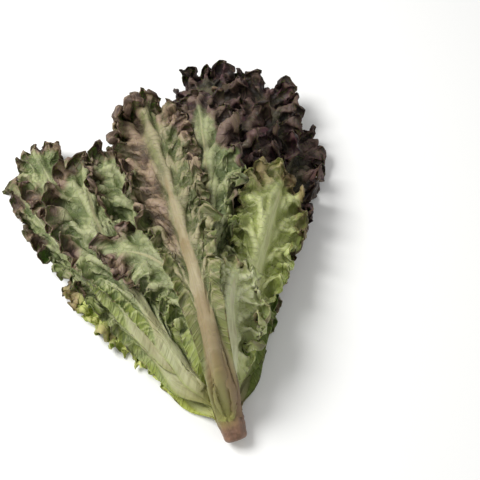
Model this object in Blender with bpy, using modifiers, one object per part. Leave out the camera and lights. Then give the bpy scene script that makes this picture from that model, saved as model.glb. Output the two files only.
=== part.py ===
"""A head of coral lettuce, cut from its root and laid on its side: a short stem and the leaves round it.

Metres, +Z up. The leaves run away from the stem's cut end along +Y, and the head lies on Z = 0. Every leaf
is a waved blade on a fleshy rib. Each is laid on the pile under it, from the bottom leaf to the top one.
"""

import itertools
import math
from dataclasses import dataclass

import bmesh
import bpy
import numpy as np

MM = 0.001

# Driving dimensions
STEM_RADIUS = 0.0080
STEM_TIP_RADIUS = 0.0045
STEM_LENGTH = 0.060
CUT_HEIGHT = 0.00726
STEM_TILT = math.radians(16)
STEM_TURN = math.radians(-3)
BLADE = 0.0010
SHEET = 0.0007
MOST_BLADE = 0.0022
RIB_HEIGHT = 0.0026
PLAIN_RIB_HEIGHT = 0.0012
RIB_HALF_WIDTH = 0.0042
PETIOLE_HALF_WIDTH = 0.0046
GAP = 0.0005

# The cut end's place, which puts the origin under the head's middle, on the flat of the lowest leaf
CUT_END = np.array([-0.0054, -0.1392])
FLAT_RADIUS = 0.026

# The pile's height map, and how sharply a leaf's rib and its margin bend over what they lie on, per metre
CELL = 0.0008
MAP_LOW = np.array([-0.160, -0.150])
MAP_SIZE = (400, 400)
RIB_BEND = 25.0
MARGIN_BEND = 90.0
HINGE = 0.035
REACH = 45
SAG = 8.0
PASSES = 25
SETTLINGS = 8
PRESSED = 0.92
PRESSED_EDGE = 7

# A leaf's outline, in half widths and lengths, from the root to the tip
OUTLINE = [
    (0.00, 0.00), (0.03, 0.12), (0.12, 0.26), (0.36, 0.41), (0.68, 0.57), (0.92, 0.72),
    (1.00, 0.84), (0.87, 0.93), (0.55, 0.985), (0.25, 1.0), (0.0, 1.0),
]
OUTLINE_STEPS = 400
RIB_END = 0.93
RIB_FORWARD = 1.45
VEIN_BEND = 0.75

# Columns of points from the rib to the margin: the share of the way out, the points along each, and how
# many of those are on the plain stretch by the root
FINE_COLUMNS = [(0.0, 12, 6), (0.0, 12, 6), (0.48, 15, 4), (0.80, 26, 4), (1.0, 43, 6)]
PLAIN_COLUMNS = [(0.0, 10, 5), (0.0, 10, 5), (0.48, 12, 3), (0.80, 18, 3), (1.0, 33, 4)]
PLAIN_SHARE = 0.27
WAVE_POINTS = 4

COLOURS = {
    "outer_leaf": ((0.36, 0.42, 0.22, 1.0), 0.55),
    "bright_leaf": ((0.42, 0.50, 0.14, 1.0), 0.5),
    "red_leaf": ((0.16, 0.09, 0.09, 1.0), 0.5),
    "inner_leaf": ((0.20, 0.25, 0.12, 1.0), 0.55),
    "stem": ((0.46, 0.27, 0.22, 1.0), 0.45),
}


@dataclass
class Leaf:
    """A leaf's growth, in millimetres and degrees: seat is its side of the stem, root the way up the stem,
    side the offset across it, turns the rib's direction from +Y at the root, halfway and at the tip, + to
    the right, half_widths to the left and right, rise its slope and drop how far its tip hangs below that."""

    name: str
    seat: str
    root: float
    side: float
    turns: tuple
    length: float
    half_widths: tuple
    rise: float
    drop: float
    frill: float
    tone: str
    fine: bool = True

    def __post_init__(self):
        self.name = "leaf_" + self.name
        for size in ("root", "side", "length", "drop", "frill"):
            setattr(self, size, getattr(self, size) * MM)
        self.half_widths = tuple(width * MM for width in self.half_widths)


# From the bottom of the pile to the top
LEAVES = [
    Leaf("bottom_middle", "under", 18, 0, (-3, -2, 0), 226, (44, 42), 0, 0, 3.2, "inner_leaf", False),
    Leaf("bottom_left", "under", 14, -9.7, (-23, -30, -38), 146, (15, 30), 0, 0, 5.5, "bright_leaf"),
    Leaf("bottom_right", "under", 16, 9.7, (18, 22, 28), 140, (36, 24), 0, 0, 5, "inner_leaf", False),
    Leaf("low_left", "under", 36, -5, (-12, -14, -12), 190, (32, 36), 0, 0, 4, "inner_leaf", False),
    Leaf("low_right", "under", 44, 5, (10, 16, 22), 196, (38, 32), 0, 0, 4.5, "red_leaf", False),
    Leaf("far_left", "beside", 22, -13.5, (-24, -26, -18), 228, (13, 28), 2, 14, 6.5, "outer_leaf"),
    Leaf("far_right", "beside", 26, 13.5, (22, 28, 34), 165, (34, 22), 2, 14, 6, "inner_leaf", False),
    Leaf("back_left", "beside", 38, -13, (-32, -18, -8), 228, (22, 26), 2, 14, 6.5, "outer_leaf"),
    Leaf("back_right", "beside", 40, 13, (26, 30, 28), 204, (34, 28), 2, 14, 6.5, "red_leaf"),
    Leaf("back_middle", "end", 68, 2, (16, 22, 24), 220, (34, 34), 0, 10, 6.5, "red_leaf"),
    Leaf("heart_left", "end", 69, -6, (-8, -4, 2), 124, (26, 26), 2, 10, 4, "red_leaf", False),
    Leaf("heart_right", "end", 70, 6, (14, 18, 24), 120, (26, 26), 2, 10, 4, "red_leaf", False),
    Leaf("crown_right", "end", 67, 5, (22, 28, 31), 210, (32, 30), 2, 14, 6.5, "red_leaf"),
    Leaf("crown_left", "end", 66, -5, (12, 17, 18), 224, (31, 32), 2, 14, 6.5, "red_leaf"),
    Leaf("crown_middle", "end", 65, 3, (20, 24, 22), 172, (32, 32), 2, 14, 6.5, "red_leaf"),
    Leaf("left", "over", 20, -8.5, (-18, -16, 12), 212, (27, 30), 4, 22, 6.5, "outer_leaf"),
    Leaf("inner_right", "over", 50, 3, (10, 20, 24), 160, (30, 28), 2, 14, 6, "red_leaf"),
    Leaf("right", "over", 30, 8.5, (24, 30, 30), 150, (26, 22), 4, 18, 6, "inner_leaf"),
    Leaf("upper_left", "over", 40, -5, (-1, -8, -16), 190, (26, 24), 5, 20, 6, "outer_leaf"),
    Leaf("curled", "over", 26, -5, (-5, -12, -97), 134, (24, 24), 7, 20, 5.5, "outer_leaf"),
    Leaf("top", "over", 30, 4, (4, 12, 4), 218, (25, 25), 8, 28, 6.5, "outer_leaf"),
    Leaf("middle", "over", 18, 8, (0, 14, 30), 78, (23, 23), 9, 16, 5.5, "outer_leaf"),
    Leaf("front", "over", 10, -1, (1, 0, -3), 240, (28, 26), 11, 36, 6.5, "outer_leaf"),
]


def clear_scene():
    for thing in list(bpy.data.objects):
        bpy.data.objects.remove(thing)


def collection(name):
    made = bpy.data.collections.new(name)
    bpy.context.scene.collection.children.link(made)
    return made


def material(name):
    colour, roughness = COLOURS[name]
    made = bpy.data.materials.new(name)
    made.use_nodes = True
    shader = made.node_tree.nodes["Principled BSDF"]
    shader.inputs["Base Color"].default_value = colour
    shader.inputs["Roughness"].default_value = roughness
    made.diffuse_color = colour
    return made


def heading(turn):
    """Unit vectors along a direction turned from +Y, and across it to the right."""
    along = np.stack([np.sin(turn), np.cos(turn)], axis=-1)
    across = np.stack([np.cos(turn), -np.sin(turn)], axis=-1)
    return along, across


def stem_axis(way):
    """The point of the stem's axis that is this far up the stem."""
    along, _ = heading(STEM_TURN)
    flat = CUT_END + along * way * math.cos(STEM_TILT)
    return np.array([flat[0], flat[1], CUT_HEIGHT + way * math.sin(STEM_TILT)])


def stem_radius(way):
    share = way / STEM_LENGTH
    return STEM_RADIUS + (STEM_TIP_RADIUS - STEM_RADIUS) * share**2


def outline(leaf, half_width):
    """Points of one margin from the root to the tip, evenly spaced, across and along."""
    table = np.array(OUTLINE)
    wing = half_width - PETIOLE_HALF_WIDTH
    across = PETIOLE_HALF_WIDTH * (1 - table[:, 1] ** 6) + wing * table[:, 0]
    across[-1] = 0.0
    points = np.stack([across, table[:, 1] * leaf.length], axis=1)
    knots = np.concatenate([[2 * points[0] - points[1]], points, [points[-2] * (-1, 1)]])
    curve = []
    for a, b, c, d in zip(knots, knots[1:], knots[2:], knots[3:]):
        for t in np.linspace(0, 1, 20, endpoint=False):
            curve.append(0.5 * (2 * b + (c - a) * t + (2 * a - 5 * b + 4 * c - d) * t**2
                                + (3 * b - a - 3 * c + d) * t**3))
    curve.append(points[-1])
    curve = np.array(curve)
    steps = np.concatenate([[0], np.cumsum(np.linalg.norm(np.diff(curve, axis=0), axis=1))])
    even = np.linspace(0, steps[-1], OUTLINE_STEPS)
    return np.stack([np.interp(even, steps, curve[:, i]) for i in (0, 1)], axis=1)


def rule_noise(seed, count):
    return np.random.default_rng(seed).uniform(-1, 1, count)


def smooth(values, low, high):
    share = np.clip((values - low) / (high - low), 0, 1)
    return share * share * (3 - 2 * share)


class Blade:
    """The points and triangles of a leaf's upper face, before it is laid on the pile."""

    def __init__(self, leaf, number):
        self.leaf = leaf
        self.number = number
        self.margins = [outline(leaf, half_width) for half_width in leaf.half_widths]
        columns = FINE_COLUMNS if leaf.fine else PLAIN_COLUMNS
        self.places = []
        self.index = {}
        self.faces = []
        for side in (-1, 1):
            for inner, outer in zip(range(len(columns)), range(1, len(columns))):
                self.strip(side, inner, outer, columns)
        self.places = np.array(self.places)
        _, self.way, self.out = self.local(self.places)
        self.points, self.down = self.lay_out(self.places)
        self.relief = self.waves(self.places, self.out)
        self.face_up()
        self.cover = cover(self.points, self.faces)
        pairs = np.array([(a, b) for face in self.faces for a, b in itertools.permutations(face, 2)])
        self.edges = np.unique(pairs, axis=0)
        self.neighbours = np.bincount(self.edges[:, 0])

    def shares(self, column, columns):
        """How far along the margin each point of a column belongs, the waved stretch more closely."""
        _, count, lower = columns[column]
        return np.concatenate([
            np.linspace(0, PLAIN_SHARE, lower, endpoint=False),
            np.linspace(PLAIN_SHARE, 1, count - lower),
        ])

    def point(self, side, column, step, shares, columns):
        """A point's number. The rib's points and those of the tip belong to both sides."""
        at_tip = step == len(shares) - 1
        key = (0 if column == 0 or at_tip else side, column, step)
        if key not in self.index:
            self.index[key] = len(self.places)
            self.places.append((side, column, columns[column][0], shares[step], step))
        return self.index[key]

    def strip(self, side, inner, outer, columns):
        near, far = self.shares(inner, columns), self.shares(outer, columns)
        i = j = 0
        while i < len(near) - 1 or j < len(far) - 1:
            a = self.point(side, inner, i, near, columns)
            b = self.point(side, outer, j, far, columns)
            step_near = j == len(far) - 1 or (i < len(near) - 1 and near[i + 1] <= far[j + 1])
            if step_near:
                i += 1
                c = self.point(side, inner, i, near, columns)
            else:
                j += 1
                c = self.point(side, outer, j, far, columns)
            self.faces.append((a, b, c))

    def local(self, places):
        """Across and along the flat leaf, and the share of the way from the rib to the margin."""
        side, column, share_out, share = places[:, 0], places[:, 1], places[:, 2], places[:, 3]
        even = np.linspace(0, 1, OUTLINE_STEPS)
        left, right = self.margins
        edge_x, edge_y = [
            np.where(side < 0, np.interp(share, even, left[:, i]), np.interp(share, even, right[:, i]))
            for i in (0, 1)
        ]
        length = self.leaf.length
        rib_y = RIB_END * length * np.clip(edge_y / length, 0, 1) ** RIB_FORWARD
        rib = RIB_HALF_WIDTH * (1 - 0.75 * edge_y / length)
        rib_share = np.where(column > 0, np.minimum(rib / np.maximum(edge_x, 1e-6), 0.5), 0.0)
        out = rib_share + (1 - rib_share) * share_out
        ragged = 1 + 0.05 * rule_noise(self.number, 97)[(share * 96).astype(int)] * smooth(out, 0.85, 1)
        x = side * edge_x * out * np.where(share < 1, ragged, 1)
        y = rib_y + (edge_y - rib_y) * out**VEIN_BEND
        return x, y, out

    def lay_out(self, places):
        """The points on the ground plan, with the blade's own shape, and how thick the leaf is there."""
        leaf = self.leaf
        x, y, out = self.local(places)
        way = np.linspace(0, leaf.length * 1.05, 300)
        start, middle, end = np.radians(leaf.turns)
        t = np.clip(way / leaf.length, 0, 1)
        turn = start * (1 - t) * (1 - 2 * t) + 4 * middle * t * (1 - t) + end * t * (2 * t - 1)
        along, across = heading(turn)
        root = stem_axis(leaf.root)
        _, stem_across = heading(STEM_TURN)
        rib = root[:2] + stem_across * leaf.side + np.concatenate(
            [[[0, 0]], np.cumsum((along[1:] + along[:-1]) / 2 * np.diff(way)[:, None], axis=0)])
        flat = [np.interp(y, way, rib[:, i]) + x * np.interp(y, way, across[:, i]) for i in (0, 1)]
        height = self.rest_height(x, y, root[2])
        fade = np.clip(1 - y / (0.85 * leaf.length), 0, 1) ** 0.7
        rib_share = np.exp(-((x / RIB_HALF_WIDTH) ** 2)) * fade
        ribbed = RIB_HEIGHT if leaf.fine and leaf.seat != "under" else PLAIN_RIB_HEIGHT
        down = BLADE + ribbed * rib_share
        if leaf.seat != "under":
            height = height + ribbed * rib_share
        return np.stack([*flat, height], axis=1), down

    def rest_height(self, x, y, axis_height):
        leaf = self.leaf
        radius = stem_radius(leaf.root)
        if leaf.seat == "under":
            under = axis_height - radius - GAP
            low = BLADE + 0.0015
            return low + (under - low) * np.exp(-y / 0.014)
        seat = {"over": radius + GAP + BLADE, "beside": 0.0, "end": -0.004}[leaf.seat]
        slope = math.tan(math.radians(leaf.rise))
        sag = SAG * x**2
        hang = leaf.drop * (y / leaf.length) ** 2 + sag * smooth(y, 0, 0.06)
        return axis_height + seat + y * slope - hang

    def waves(self, places, out):
        """The frilled margin, in long waves and short ones, and the pleats along the veins."""
        leaf = self.leaf
        _, count, lower = (FINE_COLUMNS if leaf.fine else PLAIN_COLUMNS)[-1]
        side, share = places[:, 0], places[:, 3]
        turns = (share - PLAIN_SHARE) / (1 - PLAIN_SHARE) * (count - lower - 1) / WAVE_POINTS
        part = (np.abs(turns) * 2).astype(int) + (side > 0) * 24
        strength = 1 + 0.45 * rule_noise(self.number + 50, 64)[part]
        grown = smooth(share, 0.12, 0.45)
        long_wave = np.sin(2 * math.pi * turns + self.number) * out**2.2
        short_wave = np.cos(4 * math.pi * turns) * out**7
        pleat = np.sin(2 * math.pi * (share * 5.0) + 2 * side + self.number) * np.sin(math.pi * out) ** 2
        joined = np.where(share < 1, 1.0, 0.3)
        return leaf.frill * grown * joined * (strength * (long_wave + 0.45 * short_wave) + 0.35 * pleat)

    def press(self, covered):
        """Gives the blade its waves, which are flatter where other leaves lie on it."""
        spots = np.round((self.points[:, :2] - MAP_LOW) / CELL).astype(int)
        self.points[:, 2] += self.relief * (1 - PRESSED * covered[spots[:, 0], spots[:, 1]])

    def thicken(self):
        """Where the blade is steep it reaches further down, so that it is as thick as elsewhere."""
        corners = self.points[np.array(self.faces)]
        across = np.cross(corners[:, 1] - corners[:, 0], corners[:, 2] - corners[:, 0])
        steep = np.linalg.norm(across, axis=1) / np.maximum(across[:, 2], 1e-12)
        needed = np.zeros(len(self.points))
        for k in range(3):
            np.maximum.at(needed, np.array(self.faces)[:, k], SHEET * steep)
        self.down = np.maximum(self.down, np.minimum(needed, MOST_BLADE))

    def face_up(self):
        p = self.points
        for n, (a, b, c) in enumerate(self.faces):
            ab, ac = p[b] - p[a], p[c] - p[a]
            if ab[0] * ac[1] - ab[1] * ac[0] < 0:
                self.faces[n] = (a, c, b)


def cover(points, faces):
    """The height-map cells under the leaf, each with its triangle's corners and their weights there.
    The cell nearest each point, and nearest the middle of each edge, is among them."""
    flat = (points[:, :2] - MAP_LOW) / CELL
    near = np.round(flat).astype(int)
    spots = [near[:, 0] * MAP_SIZE[1] + near[:, 1]]
    corners = [np.tile(np.arange(len(flat))[:, None], (1, 3))]
    weights = [np.tile([1.0, 0.0, 0.0], (len(flat), 1))]
    pairs = [pair for face in faces for pair in itertools.combinations(face, 2)]
    edges = np.unique(np.sort(pairs, axis=1), axis=0)
    near = np.round(flat[edges].mean(axis=1)).astype(int)
    spots.append(near[:, 0] * MAP_SIZE[1] + near[:, 1])
    corners.append(edges[:, [0, 1, 1]])
    weights.append(np.tile([0.5, 0.5, 0.0], (len(edges), 1)))
    for face in faces:
        a, b, c = flat[list(face)]
        low = np.maximum(np.ceil(np.minimum(np.minimum(a, b), c)).astype(int), 0)
        high = np.minimum(np.floor(np.maximum(np.maximum(a, b), c)).astype(int) + 1, MAP_SIZE)
        gx, gy = np.meshgrid(np.arange(low[0], high[0]), np.arange(low[1], high[1]), indexing="ij")
        area = (b[0] - a[0]) * (c[1] - a[1]) - (b[1] - a[1]) * (c[0] - a[0])
        v = ((gx - a[0]) * (c[1] - a[1]) - (gy - a[1]) * (c[0] - a[0])) / area
        w = ((b[0] - a[0]) * (gy - a[1]) - (b[1] - a[1]) * (gx - a[0])) / area
        inside = (v > -1e-6) & (w > -1e-6) & (v + w < 1 + 1e-6)
        spots.append(gx[inside] * MAP_SIZE[1] + gy[inside])
        weights.append(np.stack([1 - v - w, v, w], axis=-1)[inside])
        corners.append(np.tile(face, (inside.sum(), 1)))
    return np.concatenate(spots), np.concatenate(corners), np.clip(np.concatenate(weights), 0, 1)


def surface(blade, heights, pick, empty):
    """The blade's heights on the map, highest or lowest in each cell, and empty where it does not reach."""
    spots, corners, weights = blade.cover
    found = np.full(MAP_SIZE[0] * MAP_SIZE[1], empty)
    pick.at(found, spots, (heights[corners] * weights).sum(axis=1))
    return found.reshape(MAP_SIZE)


def shifted(field, step, axis):
    """The field moved by whole cells, with its border repeated."""
    size = field.shape[axis]
    return np.take(field, np.clip(np.arange(size) - step, 0, size - 1), axis=axis)


def spread(pile):
    """Each cell takes the highest of itself and its neighbours, so that steep places keep their clearance."""
    for axis in (0, 1):
        pile = np.maximum(np.maximum(shifted(pile, -1, axis), pile), shifted(pile, 1, axis))
    return pile


def envelope(needs, bend):
    """The lift all round each need, falling away with the square of the distance."""
    for axis in (0, 1):
        found = needs
        for step in range(1, REACH):
            fall = bend * (step * CELL) ** 2
            for way in (-step, step):
                found = np.maximum(found, shifted(needs, way, axis) - fall)
        needs = found
    return needs


def lay_down(blade, pile):
    """Lifts the blade over what lies under it, and lets it settle as smoothly as it can."""
    ground = (spread(pile) + GAP).ravel()
    spots, corners, weights = blade.cover
    shape = blade.points[:, 2] - blade.down
    places = np.round((blade.points[:, :2] - MAP_LOW) / CELL).astype(int)
    hinge = smooth(blade.way, 0, HINGE)
    sideways = smooth(blade.out, 0.15, 0.9)
    lift = np.zeros(len(shape))
    share = weights / (weights**2).sum(axis=1)[:, None]
    for settling in range(SETTLINGS):
        if settling:
            for _ in range(2):
                near = np.bincount(blade.edges[:, 0], lift[blade.edges[:, 1]], len(lift)) / blade.neighbours
                lift += 0.7 * (near - lift) * hinge
        for step in range(PASSES):
            heights = shape + lift
            lack = ground[spots] - (heights[corners] * weights).sum(axis=1)
            needs = np.maximum(lack, 0)
            if needs.max() < 1e-5:
                break
            own = np.zeros(len(lift))
            np.maximum.at(own, corners.ravel(), (share * needs[:, None]).ravel())
            if settling == 0 and step < 6:
                far = np.zeros(MAP_SIZE[0] * MAP_SIZE[1])
                np.maximum.at(far, spots, needs * (hinge[corners] * weights).sum(axis=1))
                far = far.reshape(MAP_SIZE)
                stiff = envelope(far, RIB_BEND)[places[:, 0], places[:, 1]]
                soft = envelope(far, MARGIN_BEND)[places[:, 0], places[:, 1]]
                own = np.maximum(own, (stiff + (soft - stiff) * sideways) * hinge)
            lift += own
    blade.points[:, 2] += lift


def flatten_rest(blade):
    """The lowest leaf lies flat on the surface round the origin."""
    faces = np.array(blade.faces)
    middles = blade.points[faces].mean(axis=1)
    near = np.unique(faces[np.linalg.norm(middles[:, :2], axis=1) < FLAT_RADIUS])
    blade.down[near] = blade.points[near, 2]


def leaf_object(blade, skin, group):
    """The upper face, extruded down by the leaf's thickness."""
    mesh = bpy.data.meshes.new(blade.leaf.name)
    work = bmesh.new()
    top = [work.verts.new(p) for p in blade.points]
    work.verts.index_update()
    for face in blade.faces:
        work.faces.new([top[i] for i in face])
    depth = {tuple(v.co): d for v, d in zip(top, blade.down)}
    grown = bmesh.ops.extrude_face_region(work, geom=list(work.faces))["geom"]
    lower = [v for v in grown if isinstance(v, bmesh.types.BMVert)]
    for v in lower:
        v.co.z -= depth[tuple(v.co)]
    bmesh.ops.recalc_face_normals(work, faces=list(work.faces))
    work.to_mesh(mesh)
    work.free()
    mesh.materials.append(skin)
    thing = bpy.data.objects.new(blade.leaf.name, mesh)
    group.objects.link(thing)
    return thing


def stem_shape():
    """The stem's profile, from the centre of the cut end to the tip."""
    rings = [(0.0, 0.0), (0.86 * STEM_RADIUS, 0.0), (0.97 * STEM_RADIUS, 0.0009)]
    for way in np.linspace(0.004, STEM_LENGTH, 8):
        swell = 1 + 0.04 * math.sin(way / 0.0045)
        rings.append((stem_radius(way) * swell * 0.96, way))
    rings.append((0.0, STEM_LENGTH + 0.004))
    return rings


def stem_object(skin, group):
    mesh = bpy.data.meshes.new("stem")
    profile = stem_shape()
    steps = [(i, i + 1) for i in range(len(profile) - 1)]
    mesh.from_pydata([(r, 0, z) for r, z in reversed(profile)], steps, [])
    mesh.materials.append(skin)
    thing = bpy.data.objects.new("stem", mesh)
    group.objects.link(thing)
    turned = thing.modifiers.new("turned", "SCREW")
    turned.steps = turned.render_steps = 20
    turned.use_merge_vertices = True
    turned.merge_threshold = 0.00005
    thing.location = stem_axis(0.0)
    thing.rotation_euler = (STEM_TILT - math.pi / 2, 0, -STEM_TURN)
    return thing


def stem_on_pile(pile):
    """Puts the stem's upper side on the height map."""
    along, across = heading(STEM_TURN)
    for gx in range(MAP_SIZE[0]):
        for gy in range(MAP_SIZE[1]):
            offset = MAP_LOW + np.array([gx, gy]) * CELL - CUT_END
            way = float(offset @ along) / math.cos(STEM_TILT)
            reach = float(offset @ across)
            if -0.001 <= way <= STEM_LENGTH + 0.004:
                radius = stem_radius(np.clip(way, 0, STEM_LENGTH))
                if abs(reach) < radius:
                    middle = stem_axis(way)[2]
                    half = math.sqrt(radius**2 - reach**2) / math.cos(STEM_TILT)
                    pile[gx, gy] = middle + half


def press_blades(blades):
    """Flattens the waves of each leaf under those that lie on it, softly at their edges."""
    covered = np.zeros(MAP_SIZE)
    for blade in reversed(blades):
        blade.press(covered)
        blade.thicken()
        own = surface(blade, np.ones(len(blade.points)), np.maximum, 0.0)
        for _ in range(PRESSED_EDGE):
            for axis in (0, 1):
                own = (shifted(own, -1, axis) + own + shifted(own, 1, axis)) / 3
        covered = np.maximum(covered, smooth(own, 0.5, 1.0))


def build():
    clear_scene()
    group = collection("coral_lettuce")
    skins = {name: material(name) for name in COLOURS}
    pile = np.zeros(MAP_SIZE) - GAP
    stem_placed = False
    blades = [Blade(leaf, number) for number, leaf in enumerate(LEAVES)]
    press_blades(blades)
    for number, blade in enumerate(blades):
        if blade.leaf.seat != "under" and not stem_placed:
            stem_on_pile(pile)
            stem_object(skins["stem"], group)
            stem_placed = True
        lay_down(blade, pile)
        if number == 0:
            flatten_rest(blade)
        pile = np.maximum(pile, surface(blade, blade.points[:, 2], np.maximum, -1.0))
        leaf_object(blade, skins[blade.leaf.tone], group)


build()
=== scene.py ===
import math
from dataclasses import dataclass

import bpy
import numpy as np
from mathutils import Matrix, Vector
from mathutils.bvhtree import BVHTree


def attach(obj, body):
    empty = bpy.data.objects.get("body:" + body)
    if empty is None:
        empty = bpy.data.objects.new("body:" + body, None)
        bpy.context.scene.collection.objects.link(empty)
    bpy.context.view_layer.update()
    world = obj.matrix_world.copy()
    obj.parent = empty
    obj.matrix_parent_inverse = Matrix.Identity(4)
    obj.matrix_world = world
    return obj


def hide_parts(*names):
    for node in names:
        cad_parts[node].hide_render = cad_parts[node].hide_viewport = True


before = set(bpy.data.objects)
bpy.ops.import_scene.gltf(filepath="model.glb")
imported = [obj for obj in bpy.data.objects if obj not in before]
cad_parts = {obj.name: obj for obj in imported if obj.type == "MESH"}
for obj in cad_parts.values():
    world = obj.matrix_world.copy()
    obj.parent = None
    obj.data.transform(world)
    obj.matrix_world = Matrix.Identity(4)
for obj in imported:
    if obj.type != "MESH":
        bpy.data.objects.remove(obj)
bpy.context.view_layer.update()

MM = 0.001

# The stem, as the solids have it, in metres. It swells where the leaves grow out of it
STEM_RADIUS = 0.0080
STEM_TIP_RADIUS = 0.0045
STEM_LENGTH = 0.060
COLLAR = 0.0014
COLLAR_WAY = (0.004, 0.016)
CUT_END = np.array([-0.0054, -0.1392])
CUT_HEIGHT = 0.00726
STEM_TILT = math.radians(16)
STEM_TURN = math.radians(-3)

# The stem's fine form: how far the cut's edge is worn round; the points round and up it; the cut face's
# rings; its ridges, as how many, how high in mm and from where; and its old leaf scars, as where round and
# up the stem, and how far round they reach
WORN = 0.0030
STEM_AROUND, STEM_UP = 96, 70
FACE_RINGS = (0.12, 0.3, 0.48, 0.64, 0.78, 0.88, 0.95)
RIDGES = ((5, 0.30, 0.6), (9, 0.22, 2.0), (23, 0.1, 0.0))
SCARS = ((1.9, 0.006, 0.75), (4.4, 0.009, 0.8), (0.2, 0.013, 0.7), (3.1, 0.016, 0.8))

# A leaf's plan, as the solids have it: half its outline, in shares of its half width and length, how its
# side veins leave the rib, and how much of its margin is plain
PETIOLE_HALF_WIDTH = 0.0046
OUTLINE = [
    (0.00, 0.00), (0.03, 0.12), (0.12, 0.26), (0.36, 0.41), (0.68, 0.57), (0.92, 0.72),
    (1.00, 0.84), (0.87, 0.93), (0.55, 0.985), (0.25, 1.0), (0.0, 1.0),
]
OUTLINE_STEPS = 400
KNOT_STEPS = 20
RIB_STEPS = 300
RIB_END = 0.93
RIB_FORWARD = 1.45
VEIN_BEND = 0.75
PLAIN_SHARE = 0.27

# Columns of points from the rib to the margin, and how far apart the points are along each, in mm
COLUMNS = [
    (0.00, 2.4), (0.03, 2.4), (0.06, 2.2), (0.09, 2.0), (0.125, 1.8), (0.16, 1.6), (0.20, 1.5),
    (0.24, 1.4), (0.285, 1.3), (0.33, 1.3), (0.375, 1.2), (0.42, 1.2), (0.465, 1.1), (0.51, 1.1),
    (0.555, 1.0), (0.60, 1.0), (0.645, 0.95), (0.69, 0.9), (0.73, 0.9), (0.77, 0.85), (0.81, 0.85),
    (0.85, 0.8), (0.885, 0.75), (0.92, 0.75), (0.95, 0.75), (0.978, 0.75), (1.0, 0.75),
]

# A few of them, for the blade's first and largest waves
WIDE_COLUMNS = [
    (out, 3.2 if out < 0.8 else 3.0) for out in (0.0, 0.1, 0.22, 0.35, 0.48, 0.6, 0.71, 0.81, 0.91, 1.0)]

# The record's material slot, where it isn't named for the skin
SLOTS = {"front": "outer_leaf", "tipped": "outer_leaf", "pale": "outer_leaf", "fresh": "inner_leaf"}

# How many leaves grow from the stem's underside, and how many of the next ones from its flanks
UNDER_STEM = 5
BESIDE_STEM = 4

# The map of what lies under and over each leaf, and the room that a leaf keeps from it
CELL = 0.0010
MAP_LOW = np.array([-0.150, -0.160])
MAP_SIZE = (300, 320)
CLEAR = 0.0004
OPEN_AIR = 0.2
OFF_FLOOR = 0.02 * MM

# A point's solid is felt for from this high and, where it misses, this much nearer to the rib
RAY_FROM = 0.3
PULLED_IN = (1.0, 0.97, 0.94, 0.90, 0.85, 0.78, 0.68, 0.5, 0.2, 0.0)

# How far up a leaf its foot bends in to the stem
FOOT_REACH = 0.030

# The hem's roll
ROLL_RADIUS = 0.0065

# How the blade grows, in wide waves and then in fine ones: the waves that start it, as long and high in mm,
# their draw, its share of the growth, how stiffly it bends, and the rounds in which it settles
WIDE = (((19, 2.6), (11, 1.5)), 40, 0.72, 0.02, 200)
FINE = (((7.5, 0.7), (4.5, 0.3)), 50, 0.5, 0.025, 90)
DRIVE = 0.9
STRETCH = 1.5

# How many side veins there are, and the rib's width and height in mm, at the tip and more at the foot
VEINS = 8
RIB_TAPER = 1.3
RIB_WIDTH = (0.7, 5.8)
RIB_HEIGHT = (0.6, 3.2)
BLADE_THICK = 0.5 * MM

# The tissue's blisters: how deep in mm, their size across and along the leaf, how far a vein shifts them,
# and their draw. Its wrinkles: how deep in mm and from what level, which furrows don't need, and then their
# size, how much they sway and over what distances, and their draws. Sizes are in metres
BLISTERS = ((1.05, 0.0062, 0.0085, 0.5, 4), (0.45, 0.0034, 0.0046, 0.0, 5))
CREASES = (1.6, 0.4, (0.008, 0.014), 2, (0.02, 0.02), (6, 1))
CRINKLES = (0.8, 0.35, (0.0045, 0.0065), 1.5, (0.012, 0.012), (9, 10))
FURROWS = ((0.0055, 0.045), 1.5, (0.02, 0.03), (8, 7))
PLEAT_DEEP, FURROW_DEEP = 1.5, 1.3

# What the skins show, in mm across one patch, mesh or fibre. The finest are drawn two or three times as
# coarse as on a real leaf, so that they show
PATCH_MM = {
    "green": 17, "flush": 22, "purple": 13, "net": 9, "rib": 30, "edge": 6, "speck": 2.2, "foot": 11,
    "grain": 3.2,
}
NET_MM = 3.8
FIBRE_MM = {"X": 0.6, "Y": 17}
BLOTCH_MM = 5.6


@dataclass
class Leaf:
    """One leaf as the solids have it, in mm and degrees, and then its looks. Pairs are left and right."""

    name: str
    root: float  # how far up the stem it grows, and how far to the right
    side: float
    turns: tuple  # where its rib heads at its foot, middle and tip
    length: float
    half_widths: tuple
    skin: str
    growth: tuple = (1.2, 1.2)  # how much longer its margins have grown than their plan
    roll: tuple = (120, 120)  # how far its hems roll up
    ruffled_from: tuple = (0.16, 0.16)  # the share of the margin where its ruffles start
    middle: float = 0.3  # the share of that growth that its middle has
    pleat: float = 1.0  # how deep its pleats and its wrinkles are
    crumple: float = 1.0
    rib: float = 0.8  # how stout its rib is, and how far up it shows
    rib_to: float = 0.96
    clasp: float = 0.5  # how wide its foot spreads on the stem
    veined: float = 1.0  # how strong its side veins are
    tucked: tuple = (0.0, 0.5)  # how far its left margin is drawn in, and up to what share of the way
    inner_up: bool = False  # whether its inner face is up
    coarse: float = 1.0  # how much coarser its mesh is, where little of it shows


def crown(name, root, side, turns, length, half_widths, **more):
    """A dark leaf of the crown, ruffled nearly all over."""
    more = {"growth": (1.5, 1.5), "middle": 0.55, "crumple": 1.2, "rib": 0.55, **more}
    return Leaf(name, root, side, turns, length, half_widths, "red", **more)


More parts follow.
